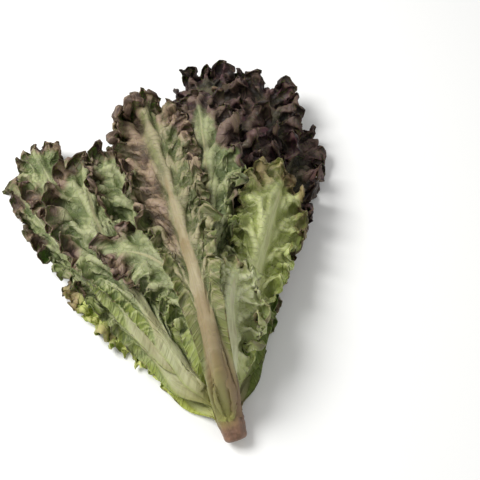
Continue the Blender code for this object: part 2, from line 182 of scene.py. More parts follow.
# From the bottom of the pile to the top
LEAVES = [
    Leaf("bottom_middle", 18, 0, (-3, -2, 0), 226, (44, 42), "inner", (0.3, 0.3), (0, 0), inner_up=True,
         coarse=2.2),
    Leaf("bottom_left", 14, -9.7, (-23, -30, -38), 146, (15, 30), "bright", (1.0, 1.0), (25, 25),
         middle=0.6, crumple=1.8, inner_up=True),
    Leaf("bottom_right", 16, 9.7, (18, 22, 28), 140, (36, 24), "inner", (1.2, 1.2), (60, 90), inner_up=True,
         coarse=1.3),
    Leaf("low_left", 36, -5, (-12, -14, -12), 190, (32, 36), "inner", (0.6, 0.6), (0, 0), inner_up=True,
         coarse=1.8),
    Leaf("low_right", 44, 5, (10, 16, 22), 196, (38, 32), "red", (0.6, 0.6), (0, 0), inner_up=True,
         coarse=1.8),
    Leaf("far_left", 22, -13.5, (-24, -26, -18), 228, (13, 28), "outer", roll=(80, 60),
         ruffled_from=(0.26, 0.16)),
    Leaf("far_right", 26, 13.5, (22, 28, 34), 165, (34, 22), "inner", roll=(60, 150), coarse=1.2),
    Leaf("back_left", 38, -13, (-32, -18, -8), 228, (22, 26), "outer", (0.7, 1.2), (40, 100), (0.3, 0.16),
         tucked=(0.5, 0.75)),
    crown("back_right", 40, 13, (26, 30, 28), 204, (34, 28), roll=(60, 130)),
    crown("back_middle", 68, 2, (16, 22, 24), 220, (34, 34)),
    Leaf("heart_left", 69, -6, (-8, -4, 2), 124, (26, 26), "red", (0.6, 0.6), (0, 0), coarse=1.8),
    Leaf("heart_right", 70, 6, (14, 18, 24), 120, (26, 26), "red", (0.6, 0.6), (0, 0), coarse=1.8),
    crown("crown_right", 67, 5, (22, 28, 31), 210, (32, 30)),
    crown("crown_left", 66, -5, (12, 17, 18), 224, (31, 32)),
    crown("crown_middle", 65, 3, (20, 24, 22), 172, (32, 32)),
    Leaf("left", 20, -8.5, (-18, -16, 12), 212, (27, 30), "outer", (0.9, 1.2), (120, 100), (0.5, 0.25),
         pleat=1.4, veined=2.0, tucked=(0.55, 0.48)),
    crown("inner_right", 50, 3, (10, 20, 24), 160, (30, 28)),
    Leaf("right", 30, 8.5, (24, 30, 30), 150, (26, 22), "fresh", (1.2, 1.2), crumple=1.4),
    Leaf("upper_left", 40, -5, (-1, -8, -16), 190, (26, 24), "outer", crumple=1.6),
    Leaf("curled", 26, -5, (-5, -12, -97), 134, (24, 24), "outer", roll=(60, 130), rib=0.6),
    Leaf("top", 30, 4, (4, 12, 4), 218, (25, 25), "tipped", pleat=1.6, rib=0.5),
    Leaf("middle", 18, 8, (0, 14, 30), 78, (23, 23), "pale", (1.1, 1.1), pleat=0.8, crumple=2.0),
    Leaf("front", 10, -1, (1, 0, -3), 240, (28, 26), "front", roll=(190, 110), ruffled_from=(0.3, 0.25),
         rib=0.95, clasp=0.8, rib_to=0.72, veined=1.7),
]


def linear(code):
    """An sRGB hex colour as the linear RGBA that a shader takes."""
    channels = [int(code[i:i + 2], 16) / 255 for i in (1, 3, 5)]
    return tuple(c / 12.92 if c <= 0.04045 else ((c + 0.055) / 1.055) ** 2.4 for c in channels) + (1.0,)


def smooth(values, low, high):
    """0 at low and 1 at high, with a soft start and end."""
    share = np.clip((values - low) / (high - low), 0, 1)
    return share * share * (3 - 2 * share)


def noise(x, y, seed):
    """Smooth noise, -1 to 1, that varies over a distance of 1."""
    lattice = np.random.default_rng(seed).uniform(-1, 1, (64, 64))
    x, y = np.broadcast_arrays(np.asarray(x, float), np.asarray(y, float))
    i, j = np.floor(x).astype(int), np.floor(y).astype(int)
    u, v = smooth(x - i, 0, 1), smooth(y - j, 0, 1)
    a, b = lattice[i % 64, j % 64], lattice[(i + 1) % 64, j % 64]
    c, d = lattice[i % 64, (j + 1) % 64], lattice[(i + 1) % 64, (j + 1) % 64]
    return (a * (1 - u) + b * u) * (1 - v) + (c * (1 - u) + d * u) * v


def heading(turn):
    """Unit vectors along a direction turned from +Y, and across it to the right."""
    sine, cosine = np.sin(turn), np.cos(turn)
    return np.stack([sine, cosine], axis=-1), np.stack([cosine, -sine], axis=-1)


def stem_axis(way):
    """The middle of the stem this far up from its cut."""
    along, _ = heading(STEM_TURN)
    flat = CUT_END + along * way * math.cos(STEM_TILT)
    return np.array([flat[0], flat[1], CUT_HEIGHT + way * math.sin(STEM_TILT)])


def stem_radius(way):
    """The stem's radius this far up from its cut, swelling where the leaves grow out of it."""
    plain = STEM_RADIUS + (STEM_TIP_RADIUS - STEM_RADIUS) * (way / STEM_LENGTH) ** 2
    return plain + COLLAR * smooth(way, *COLLAR_WAY)


def outline(length, half_width):
    """Points of one margin from the root to the tip, evenly spaced, across and along, and its length."""
    table = np.array(OUTLINE)
    across = PETIOLE_HALF_WIDTH * (1 - table[:, 1] ** 6) + (half_width - PETIOLE_HALF_WIDTH) * table[:, 0]
    across[-1] = 0.0
    points = np.stack([across, table[:, 1] * length], axis=1)
    knots = np.concatenate([[2 * points[0] - points[1]], points, [points[-2] * (-1, 1)]])
    curve = []
    for a, b, c, d in zip(knots, knots[1:], knots[2:], knots[3:]):
        for t in np.linspace(0, 1, KNOT_STEPS, endpoint=False):
            curve.append(0.5 * (2 * b + (c - a) * t + (2 * a - 5 * b + 4 * c - d) * t**2
                                + (3 * b - a - 3 * c + d) * t**3))
    curve = np.array(curve + [points[-1]])
    steps = np.concatenate([[0], np.cumsum(np.linalg.norm(np.diff(curve, axis=0), axis=1))])
    even = np.linspace(0, steps[-1], OUTLINE_STEPS)
    return np.stack([np.interp(even, steps, curve[:, i]) for i in (0, 1)], axis=1), steps[-1]


class Blade:
    """A leaf's grid: each point's side, way out to the margin and share of it, and the triangles."""

    def __init__(self, leaf, number, columns):
        self.leaf, self.number, self.columns = leaf, number, columns
        self.length = leaf.length * MM
        self.margins = [outline(self.length, half_width * MM) for half_width in leaf.half_widths]
        self.places, self.faces, self.rim, self.rows, index = [], [], [], {}, {}
        for side in (-1, 1):
            arc = self.margins[side > 0][1]
            rows = [self.shares(arc, spacing * leaf.coarse) for _, spacing in columns]
            for k in range(len(columns) - 1):
                self.strip(side, k, rows[k], rows[k + 1], index)
            self.rows[side] = [
                ([self.point(side, k, j, shares, index) for j in range(len(shares))], shares)
                for k, shares in enumerate(rows)]
            self.rim.append(self.rows[side][-1][0])
        self.side, self.out, self.share = np.array(self.places).T
        self.faces = np.array(self.faces)
        pairs = np.concatenate([self.faces[:, [0, 1]], self.faces[:, [1, 2]], self.faces[:, [2, 0]]])
        self.links = np.unique(np.sort(pairs, axis=1), axis=0)
        self.valence = np.bincount(self.links.ravel(), minlength=len(self.out))
        self.arcs = np.where(self.side < 0, self.margins[0][1], self.margins[1][1])

    @staticmethod
    def shares(arc, spacing):
        """Shares of the way along a column: sparse by the root, then close."""
        upper = round(arc * (1 - PLAIN_SHARE) / (spacing * MM))
        lower = max(6, round(arc * PLAIN_SHARE / (max(spacing, 1.6) * MM * 1.3)))
        return np.concatenate([
            np.linspace(0, PLAIN_SHARE, lower, endpoint=False), np.linspace(PLAIN_SHARE, 1, upper)])

    def point(self, side, column, step, shares, index):
        """A grid point's number, which both sides share on the rib and all columns share at the tip."""
        at_tip = step == len(shares) - 1
        key = (0 if column == 0 or at_tip else side, column, -1 if at_tip else step)
        if key not in index:
            index[key] = len(self.places)
            self.places.append((side, self.columns[column][0], shares[step]))
        return index[key]

    def strip(self, side, column, near, far, index):
        """The triangles between one column and the next."""
        i = j = 0
        while i < len(near) - 1 or j < len(far) - 1:
            a, b = self.point(side, column, i, near, index), self.point(side, column + 1, j, far, index)
            if j == len(far) - 1 or (i < len(near) - 1 and near[i + 1] <= far[j + 1]):
                i += 1
                c = self.point(side, column, i, near, index)
            else:
                j += 1
                c = self.point(side, column + 1, j, far, index)
            self.faces.append((a, b, c) if side > 0 else (a, c, b))

    def margin(self, side, share):
        """The margin across and along the flat leaf, and where the vein to it leaves the rib."""
        even = np.linspace(0, 1, OUTLINE_STEPS)
        (left, _), (right, _) = self.margins
        across, along = [
            np.where(side < 0, np.interp(share, even, left[:, i]), np.interp(share, even, right[:, i]))
            for i in (0, 1)]
        return across, along, RIB_END * self.length * np.clip(along / self.length, 0, 1) ** RIB_FORWARD

    def local(self, side, out, share):
        """Across and along the flat leaf."""
        across, along, rib = self.margin(side, share)
        most, until = self.leaf.tucked
        drawn = 1 - most * (side < 0) * (1 - smooth(share, until - 0.14, until + 0.14))
        return side * across * drawn * out, rib + (along - rib) * out**VEIN_BEND

    def plan(self, side, out, share):
        """Points on the ground plan."""
        leaf = self.leaf
        x, y = self.local(side, out, share)
        way = np.linspace(0, self.length * 1.05, RIB_STEPS)
        start, middle, end = np.radians(leaf.turns)
        t = np.clip(way / self.length, 0, 1)
        turn = start * (1 - t) * (1 - 2 * t) + 4 * middle * t * (1 - t) + end * t * (2 * t - 1)
        along, across = heading(turn)
        root = stem_axis(leaf.root * MM)[:2] + heading(STEM_TURN)[1] * leaf.side * MM
        steps = (along[1:] + along[:-1]) / 2 * np.diff(way)[:, None]
        rib = root + np.concatenate([[[0, 0]], np.cumsum(steps, axis=0)])
        return np.stack([
            np.interp(y, way, rib[:, i]) + x * np.interp(y, way, across[:, i]) for i in (0, 1)], axis=1)

    def gather(self, weights, values):
        """For each point, the sum over its links of their weighted steps to the other end."""
        a, b = self.links.T
        pull = values * weights[:, None]
        return np.stack([
            np.bincount(a, pull[:, i], len(self.out)) - np.bincount(b, pull[:, i], len(self.out))
            for i in range(values.shape[1])], axis=1)

    def eased(self, values, rounds, share=0.5):
        """The values with each drawn towards the mean of its neighbours, a few times over."""
        a, b = self.links.T
        ones = np.ones(len(a))
        for _ in range(rounds):
            values = values + share * self.gather(ones, values[b] - values[a]) / self.valence[:, None]
        return values

    def read_at(self, other, values):
        """The values of this blade's points, read between them at another blade's points."""
        places = [out for out, _ in self.columns]
        found = np.zeros((len(other.out), values.shape[1]))
        for side, rows in self.rows.items():
            mine = np.nonzero(other.side == side)[0]
            column = np.interp(other.out[mine], places, np.arange(len(places)))
            low = np.minimum(column.astype(int), len(places) - 2)
            lines = np.array([
                [np.interp(other.share[mine], shares, values[spots, i]) for i in range(values.shape[1])]
                for spots, shares in rows])
            near, far = lines[low, :, np.arange(len(mine))], lines[low + 1, :, np.arange(len(mine))]
            found[mine] = near + (far - near) * (column - low)[:, None]
        return found

    def normals(self, points):
        corners = points[self.faces]
        flat = np.cross(corners[:, 1] - corners[:, 0], corners[:, 2] - corners[:, 0])
        total = np.stack([
            sum(np.bincount(self.faces[:, k], flat[:, i], len(points)) for k in range(3))
            for i in range(3)], axis=1)
        return total / np.maximum(np.linalg.norm(total, axis=1), 1e-12)[:, None]


def solid(leaf):
    """The corners of a leaf's solid, and its triangles."""
    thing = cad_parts["leaf_" + leaf.name]
    thing.data.calc_loop_triangles()
    corners = [thing.matrix_world @ v.co for v in thing.data.vertices]
    return corners, [t.vertices[:] for t in thing.data.loop_triangles]


def blurred(field, rounds):
    """The map with each cell mixed with its neighbours, a few times over."""
    for _ in range(rounds):
        for axis in (0, 1):
            before, after = np.roll(field, 1, axis), np.roll(field, -1, axis)
            field = (before + field + after) / 3
    return field


class Pile:
    """Height maps of every leaf's solid, and the room that they leave to each leaf."""

    def __init__(self):
        self.tops, self.bottoms = zip(*map(self.heights, LEAVES))

    @staticmethod
    def heights(leaf):
        """The top and the bottom of one solid over each cell of the map."""
        top, bottom = np.full(MAP_SIZE, -np.inf), np.full(MAP_SIZE, np.inf)
        places, triangles = solid(leaf)
        for corners in np.array(places)[triangles]:
            a, b, c = (corners[:, :2] - MAP_LOW) / CELL
            area = (b[0] - a[0]) * (c[1] - a[1]) - (b[1] - a[1]) * (c[0] - a[0])
            if abs(area) < 1e-6:
                continue
            low = np.ceil(np.minimum(np.minimum(a, b), c)).astype(int)
            high = np.floor(np.maximum(np.maximum(a, b), c)).astype(int) + 1
            gx, gy = np.meshgrid(np.arange(low[0], high[0]), np.arange(low[1], high[1]), indexing="ij")
            v = ((gx - a[0]) * (c[1] - a[1]) - (gy - a[1]) * (c[0] - a[0])) / area
            w = ((b[0] - a[0]) * (gy - a[1]) - (b[1] - a[1]) * (gx - a[0])) / area
            inside = (v >= 0) & (w >= 0) & (v + w <= 1)
            z = (corners[0, 2] * (1 - v - w) + corners[1, 2] * v + corners[2, 2] * w)[inside]
            spots = gx[inside], gy[inside]
            top[spots] = np.maximum(top[spots], z)
            bottom[spots] = np.minimum(bottom[spots], z)
        return top, bottom

    def room(self, number):
        """The lowest and highest that this leaf may lie, and how open to the sky it is."""
        low, high, hidden = np.zeros(MAP_SIZE), np.full(MAP_SIZE, OPEN_AIR), np.zeros(MAP_SIZE)
        own_top, own_bottom = self.tops[number], self.bottoms[number]
        own = np.isfinite(own_top)
        for other, (top, bottom) in enumerate(zip(self.tops, self.bottoms)):
            there = np.isfinite(top)
            if other < number:
                floor = np.where(own & there, (top + np.where(own, own_bottom, 0)) / 2, top + CLEAR)
                low = np.maximum(low, np.where(there, floor, 0))
            elif other > number:
                roof = np.where(own & there, (bottom + np.where(own, own_top, 0)) / 2, bottom - CLEAR)
                high = np.minimum(high, np.where(there, roof, OPEN_AIR))
                hidden = np.maximum(hidden, there)
        return np.maximum(low, blurred(low, 2)), high, 1 - blurred(hidden, 4)


def looked_up(field, points):
    """The map's values at these places, between its cells."""
    spots = np.clip((points[:, :2] - MAP_LOW) / CELL, 0, np.array(MAP_SIZE) - 1.001)
    i, j = spots.astype(int).T
    u, v = (spots - np.floor(spots)).T
    near = field[i, j] * (1 - u) + field[i + 1, j] * u
    far = field[i, j + 1] * (1 - u) + field[i + 1, j + 1] * u
    return near * (1 - v) + far * v


def on_solid(blade, out):
    """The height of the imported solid's upper face under each point of the plan."""
    tree = BVHTree.FromPolygons(*solid(blade.leaf))
    heights = np.full(len(out), np.nan)
    down = Vector((0, 0, -1))
    for pull in PULLED_IN:
        missing = np.nonzero(np.isnan(heights))[0]
        if not len(missing):
            break
        spots = blade.plan(blade.side[missing], out[missing] * pull, blade.share[missing])
        for n, (x, y) in zip(missing, spots):
            hit = tree.ray_cast(Vector((x, y, RAY_FROM)), down)[0]
            if hit:
                heights[n] = hit.z
    return np.where(np.isnan(heights), np.nanmedian(heights), heights)


def margin_frame(blade):
    """Each point's unit vectors on the plan, along the margin to the tip and outwards."""
    step, ones = 0.004, np.ones(len(blade.out))
    here = blade.plan(blade.side, ones, np.clip(blade.share - step, 0, 1 - step))
    there = blade.plan(blade.side, ones, np.clip(blade.share + step, step, 1))
    along = there - here
    along /= np.maximum(np.linalg.norm(along, axis=1), 1e-9)[:, None]
    return along, np.stack([along[:, 1], -along[:, 0]], axis=1) * blade.side[:, None]


def rolled(blade, openness, outward, seed):
    """The leaf on its solid, its hem rolled up where nothing lies on it. Then each point's distance from the
    margin, in metres, and how free the leaf is there."""
    leaf = blade.leaf
    across, up, rib = blade.margin(blade.side, blade.share)
    vein = np.hypot(across, up - rib)
    margin = blade.plan(blade.side, np.ones(len(blade.out)), blade.share)
    free = looked_up(openness, margin) * smooth(blade.share, 0.22, 0.5)
    arc = blade.side * (1 - blade.share) * blade.arcs
    turn = np.radians(np.where(blade.side < 0, *leaf.roll)) * (0.75 + 0.55 * noise(arc / 0.022, 0.5, seed))
    turn *= free
    plain = np.maximum(vein - np.minimum(ROLL_RADIUS, 0.45 * vein), 1e-6)
    # The margin's uneven teeth, in mm
    ragged = 1.6 * noise(arc / 0.009, 7.5, seed + 30) + 1.1 * noise(arc / 0.004, 9.5, seed + 31)
    ragged += 1.2 * np.abs(noise(arc / 0.0022, 2.5, seed + 32))
    hem = vein - plain + ragged * MM * smooth(blade.share, 0.18, 0.4)
    width = hem + np.maximum(turn * ROLL_RADIUS - hem, 0) * free
    way = blade.out * (plain + width)
    beyond = np.maximum(way - plain, 0)
    bend = np.maximum(turn / np.maximum(width, 1e-6), 1e-3)
    flat = blade.plan(blade.side, np.minimum(way, plain) / np.maximum(vein, 1e-6), blade.share)
    flat += outward * (np.sin(bend * beyond) / bend)[:, None]
    height = on_solid(blade, np.clip(way / np.maximum(vein, 1e-6), 0, 1))
    height = blade.eased(height[:, None], 5)[:, 0] + (1 - np.cos(bend * beyond)) / bend
    return np.column_stack([flat, height]), (1 - blade.out) * (plain + width), free


def growth_of(blade, free):
    """How much longer than its plan the tissue has grown: most at the margin."""
    leaf = blade.leaf
    middle, margin = smooth(blade.out, 0.2, 0.6), smooth(blade.out, 0.5, 1.0) ** 1.2
    growth = leaf.middle * middle + (1 - leaf.middle) * margin
    most, start = [np.where(blade.side < 0, *pair) for pair in (leaf.growth, leaf.ruffled_from)]
    return most * growth * smooth(blade.share, start, start + 0.24) * (0.3 + 0.7 * free)


def first_waves(blade, base, growth, waves, seed):
    """Shallow waves along the margin, as (length, height) in mm, for the growth to deepen."""
    arc = blade.side * (1 - blade.share) * blade.arcs / MM
    start = np.zeros(len(arc))
    for n, (long, tall) in enumerate(waves):
        phase = 2 * math.pi * arc / long + 2.5 * noise(arc / (1.6 * long), 0.5, seed + n)
        uneven = 0.6 + 0.6 * noise(arc / (1.3 * long), 3.5, seed + 9 + n)
        start += tall * MM * np.sin(phase) * uneven * blade.out ** (3 + 2 * n)
    return base + blade.normals(base) * (start * np.minimum(growth, 1.2))[:, None]


def grown_out(blade, base, points, growth, along, room, rounds, bend):
    """The blade after its growth, buckled into ruffles. Every link seeks its grown length, the blade resists
    bending, and it stays clear of what lies under and over it."""
    low, high, _ = room
    a, b = blade.links.T
    step = base[b] - base[a]
    rest = np.linalg.norm(step, axis=1)
    way = ((along[a] + along[b]) / 2 * step[:, :2]).sum(axis=1)
    way = np.clip(way**2 / np.maximum((step[:, :2] ** 2).sum(axis=1), 1e-12), 0, 1)
    rest = rest * (1 + (growth[a] + growth[b]) / 2 * (0.10 + 0.90 * way))
    out = blade.out
    bends = (bend * (1 - 0.8 * smooth(out, 0.3, 0.95)))[a]
    hold = 0.25 * (1 - smooth(out, 0.02, 0.3)) + 0.004 * (1 - smooth(out, 0.3, 0.9)) + 0.001
    hold = np.maximum(hold, 0.5 * (1 - smooth(blade.share, 0.12, 0.3)))[:, None]
    last = points.copy()
    valence = blade.valence[:, None]
    for n in range(rounds):
        step = points[b] - points[a]
        long = np.sqrt((step * step).sum(axis=1))
        pull = STRETCH * 0.5 * (1 - rest / np.maximum(long, 1e-9)) + bends
        moved = points + DRIVE * (points - last) + blade.gather(pull, step) / valence
        moved += hold * (base - moved)
        last, points = points, moved
        if n % 3 == 0:
            floor, roof = looked_up(low, points) + CLEAR, looked_up(high, points) - CLEAR
            points[:, 2] = np.clip(points[:, 2], floor, roof)
    return points


def ruffled(blade, pile, seed):
    """The leaf with its wide waves and its fine ones, and each point's distance from the margin."""
    room, waved = pile.room(blade.number), 0.0
    wide = Blade(blade.leaf, blade.number, WIDE_COLUMNS)
    for grid, (waves, draw, share, bend, rounds) in ((wide, WIDE), (blade, FINE)):
        along, outward = margin_frame(grid)
        base, inside, free = rolled(grid, room[2], outward, seed)
        base = base + waved
        growth = growth_of(grid, free)
        points = first_waves(grid, base, growth, waves, seed + draw)
        points = grown_out(grid, base, points, share * growth, along, room, rounds, bend)
        if grid is wide:
            waved = wide.read_at(blade, points - base)
    return points, inside


def blisters(x, y, seed):
    """Cells 1 across: 0 on the fine veins between them, and near 1 in their middles."""
    rng = np.random.default_rng(seed)
    shift = rng.uniform(0.15, 0.85, (64, 64, 2))
    i, j = np.floor(x).astype(int), np.floor(y).astype(int)
    reach = []
    for di in (-1, 0, 1):
        for dj in (-1, 0, 1):
            spot = shift[(i + di) % 64, (j + dj) % 64]
            reach.append(np.hypot(i + di + spot[:, 0] - x, j + dj + spot[:, 1] - y))
    first, second = np.sort(np.array(reach), axis=0)[:2]
    return smooth(second - first, 0.0, 0.45)


def joined_to_stem(blade, points, y):
    """The leaf with its foot bent in to the stem and drawn down into its skin. Then how far right on the stem
    each point lies, from 0 to 1."""
    along, across = heading(STEM_TURN)
    offset = points[:, :2] - CUT_END
    way = np.clip(offset @ along / math.cos(STEM_TILT), 0, STEM_LENGTH)
    radius = stem_radius(way)
    aside = blade.leaf.side * MM
    beside = UNDER_STEM <= blade.number < UNDER_STEM + BESIDE_STEM
    target = np.sign(aside) * (0.95 * radius if beside else np.minimum(abs(aside), 0.6 * radius))
    bent, drawn, sunk = (1 - smooth(y, 0.0, share * FOOT_REACH) for share in (1, 0.75, 0.45))
    before = offset @ across
    reach = before + bent * (target - aside + blade.leaf.clasp * (before - aside))
    reach -= np.sign(reach) * np.maximum(np.abs(reach) - 0.88 * radius, 0) * bent
    points[:, :2] += across * (reach - before)[:, None]
    half = np.sqrt(np.maximum(radius**2 - reach**2, 0)) / math.cos(STEM_TILT)
    middle = CUT_HEIGHT + way * math.sin(STEM_TILT)
    sunk = 1.4 * MM * sunk
    if beside:
        skin = middle + 0.5 * MM
    elif blade.number < UNDER_STEM:
        skin = middle - half + 2.5 * MM + sunk
    else:
        skin = middle + half + 0.8 * MM - 0.75 * sunk
    points[:, 2] += (skin - points[:, 2]) * drawn
    return points, smooth(reach, -1 * MM, 6 * MM)


def wrinkles(x, y, seed, size, sway, reach, draws):
    """Noise drawn out into wrinkles of this size, which sway from side to side."""
    swayed = sway * noise(x / reach[0], y / reach[1], seed + draws[0])
    return noise(x / size[0] + swayed, y / size[1], seed + draws[1])


def strayed(blade, count):
    """How far each of this many side veins strays from its even share of the margin."""
    return 0.25 * noise(blade.out * 5, blade.share * 12, 77 + count + blade.number)


def vein_height(blade):
    """Side veins, which run out from the rib at even shares of the margin, and fork twice."""
    out, share = blade.out, blade.share
    found = np.zeros(len(out))
    for count, start, width in ((VEINS, 0.0, 1.3), (2 * VEINS, 0.38, 0.9), (4 * VEINS, 0.66, 0.7)):
        from_vein = np.abs((share * count + strayed(blade, count) + 0.5) % 1 - 0.5)
        from_vein = from_vein * blade.arcs / MM / count * np.maximum(out, 0.15)
        wide = width * (1.5 - 0.8 * out)
        reach = smooth(out, start - 0.08, start + 0.08) if start else 1.0
        found = np.maximum(found, np.exp(-((from_vein / wide) ** 2)) * reach * (1 - 0.45 * out))
    return found * smooth(share, 0.14, 0.26)


def leaf_points(blade, pile):
    """The leaf's upper face, what its skin reads at each point, and its thickness."""
    leaf, seed = blade.leaf, 1000 * (blade.number + 1)
    out, share = blade.out, blade.share
    points, inside = ruffled(blade, pile, seed)
    x, y = blade.local(blade.side, out, share)
    veins = vein_height(blade)
    way = np.clip(y / blade.length, 0, 1)

    # The rib is stoutest at the foot, and thins as its side veins part from it
    taper = (1 - way) ** RIB_TAPER
    parting = 1 - 0.35 * leaf.veined * smooth(way, 0.26, 0.58)
    rib_width = leaf.rib * MM * (RIB_WIDTH[1] * taper * parting + RIB_WIDTH[0])
    from_rib = np.maximum(np.abs(x) / rib_width, out * (1 - smooth(share, 0.2, 0.4)))
    rib = np.sqrt(np.clip(1 - from_rib**2, 0, 1)) * smooth(leaf.rib_to - way, 0.0, 0.16)
    off_rib = smooth(np.abs(x), rib_width, rib_width + 3 * MM)
    points += (blade.eased(points, 12) - points) * ((1 - off_rib) * smooth(1 - way, 0.04, 0.2))[:, None]

    # The tissue beside it is pleated between the side veins, blistered and wrinkled
    tissue = off_rib * smooth(share, 0.2, 0.45)
    fold = np.cos(2 * math.pi * (share * VEINS + strayed(blade, VEINS)))
    depth = 1 + 0.6 * noise(share * 7, 5 + blade.side, seed + 3)
    swell = leaf.pleat * PLEAT_DEEP * MM * fold * depth * np.sin(math.pi * out**0.8) ** 0.7 * tissue
    cells = sum(deep * blisters(x / across + shift * veins, y / along, seed + draw)
                for deep, across, along, shift, draw in BLISTERS)
    swell += leaf.crumple * (1.0 if leaf.inner_up else -1.0) * MM * cells * tissue
    for deep, level, *kind in (CREASES, CRINKLES):
        swell += leaf.crumple * deep * MM * (level - np.abs(wrinkles(x, y, seed, *kind))) * tissue
    swell += FURROW_DEEP * MM * wrinkles(x, y, seed, *FURROWS) * tissue * smooth(1 - out, 0.1, 0.4)
    points += blade.normals(points) * swell[:, None]

    # The rib and veins stand up on the outer face, and are shallow grooves in the inner one
    rib_height = leaf.rib * MM * (RIB_HEIGHT[0] + RIB_HEIGHT[1] * taper)
    rib_height = rib_height * (0.3 + 0.7 * smooth(y, 0.0, 0.7 * FOOT_REACH))
    spread = 1 + 0.8 * (1 - smooth(out, 0.15, 0.6)) * (1 - smooth(share, 0.35, 0.75))
    raised = rib_height * rib + MM * leaf.veined * veins * smooth(share, 0.2, 0.34) * spread * (1 - rib)
    points += blade.normals(points) * (raised * (-0.3 if leaf.inner_up else 1.0))[:, None]
    points = blade.eased(points, 1, 0.35)

    normals = blade.normals(points)
    # How far each point stands out of the smoothed leaf, fine and broad: for painted shade and painted
    # highlight
    fine_crest = ((points - blade.eased(points, 4)) * normals).sum(axis=1)
    crest = ((points - blade.eased(points, 24)) * normals).sum(axis=1)
    points, right = joined_to_stem(blade, points, y)
    points[:, 2] = np.maximum(points[:, 2], BLADE_THICK)
    looks = {
        "inside": inside / MM, "vein": veins, "rib": rib, "along": way,
        "crest": np.clip(0.5 + crest / (3 * MM), 0, 1),
        "wrinkle": np.clip(0.5 + fine_crest / (0.8 * MM), 0, 1),
        "blade": smooth(share, 0.16, 0.42), "left": (blade.side < 0) * smooth(out, 0.05, 0.3),
        "flat_x": x + 0.37 * blade.number, "flat_y": y, "right": right,
    }
    return points, looks, BLADE_THICK + rib_height * rib


def placed(name, data):
    """A new object in the scene."""
    thing = bpy.data.objects.new(name, data)
    bpy.context.scene.collection.objects.link(thing)
    return thing


def fine_object(name, points, faces, looks, skin):
    """A closed mesh as an object with this skin, and what the skin reads at each point."""
    mesh = bpy.data.meshes.new(name)
    mesh.from_pydata(points.tolist(), [], faces.tolist())
    mesh.polygons.foreach_set("use_smooth", np.ones(len(mesh.polygons), bool))
    for key, values in looks.items():
        mesh.attributes.new(key, "FLOAT", "POINT").data.foreach_set("value", values.astype(np.float32))
    mesh.materials.append(skin)
    return placed("fine_" + name, mesh)


def leaf_piece(leaf, number, pile, skins):
    """A leaf between its upper face and its lower one, closed round its margin."""
    blade = Blade(leaf, number, COLUMNS)
    points, looks, thick = leaf_points(blade, pile)
    low = points - blade.normals(points) * thick[:, None]
    low[:, 2] = np.maximum(low[:, 2], OFF_FLOOR)
    count = len(points)
    left, right = blade.rim
    ring = left + right[::-1] + left[:1]
    walls = []
    for a, b in zip(ring, ring[1:]):
        if a != b:
            walls += [(a, b, b + count), (a, b + count, a + count)]
    triangles = np.concatenate([blade.faces, blade.faces[:, ::-1] + count, np.array(walls)])
    looks = {key: np.tile(values, 2) for key, values in looks.items()}
    looks["inner"] = np.repeat([float(leaf.inner_up), float(not leaf.inner_up)], count)
    piece = fine_object(leaf.name, np.concatenate([points, low]), triangles, looks, skins[leaf.skin])
    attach(piece, "root")
    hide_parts("leaf_" + leaf.name)
    SLOTS.get(leaf.skin, leaf.skin + "_leaf")


def stem_rings(turn):
    """The stem's rings, out over its cut face and then up its side: how far up and out their points lie,
    whether they are on the face, and how far out on it."""
    for radial in FACE_RINGS:
        rough = noise(6 * radial * np.cos(turn), 6 * radial * np.sin(turn), 7)
        hollow = 0.5 * MM * (1 - radial**2) + 0.12 * MM * rough
        yield hollow, np.full(STEM_AROUND, radial * (STEM_RADIUS - 0.35 * MM - WORN)), 1.0, radial
    for way in np.linspace(0, 1, STEM_UP) ** 1.3 * STEM_LENGTH:
        ridges = sum(tall * np.cos(count * turn + start) for count, tall, start in RIDGES)
        ridges = ridges * smooth(way, 0.001, 0.012) - 0.35
        lumps = 0.30 * noise(8 * turn / math.pi, way / 0.004, 11)
        lumps = lumps + 0.12 * noise(24 * turn / math.pi, way / 0.0015, 12)
        scar = 0.0
        for middle, height, spread in SCARS:
            apart = (turn - middle + math.pi) % (2 * math.pi) - math.pi
            curve = height - 0.003 * (apart / spread) ** 2
            scar = scar + 0.45 * np.exp(-(((way - curve) / 0.0006) ** 2)) * (np.abs(apart) < spread)
        worn = -WORN / MM * (1 - math.sqrt(1 - max(1 - way / WORN, 0) ** 2))
        yield np.full(STEM_AROUND, way), stem_radius(way) + MM * (ridges + lumps + scar + worn), 0.0, 1.0


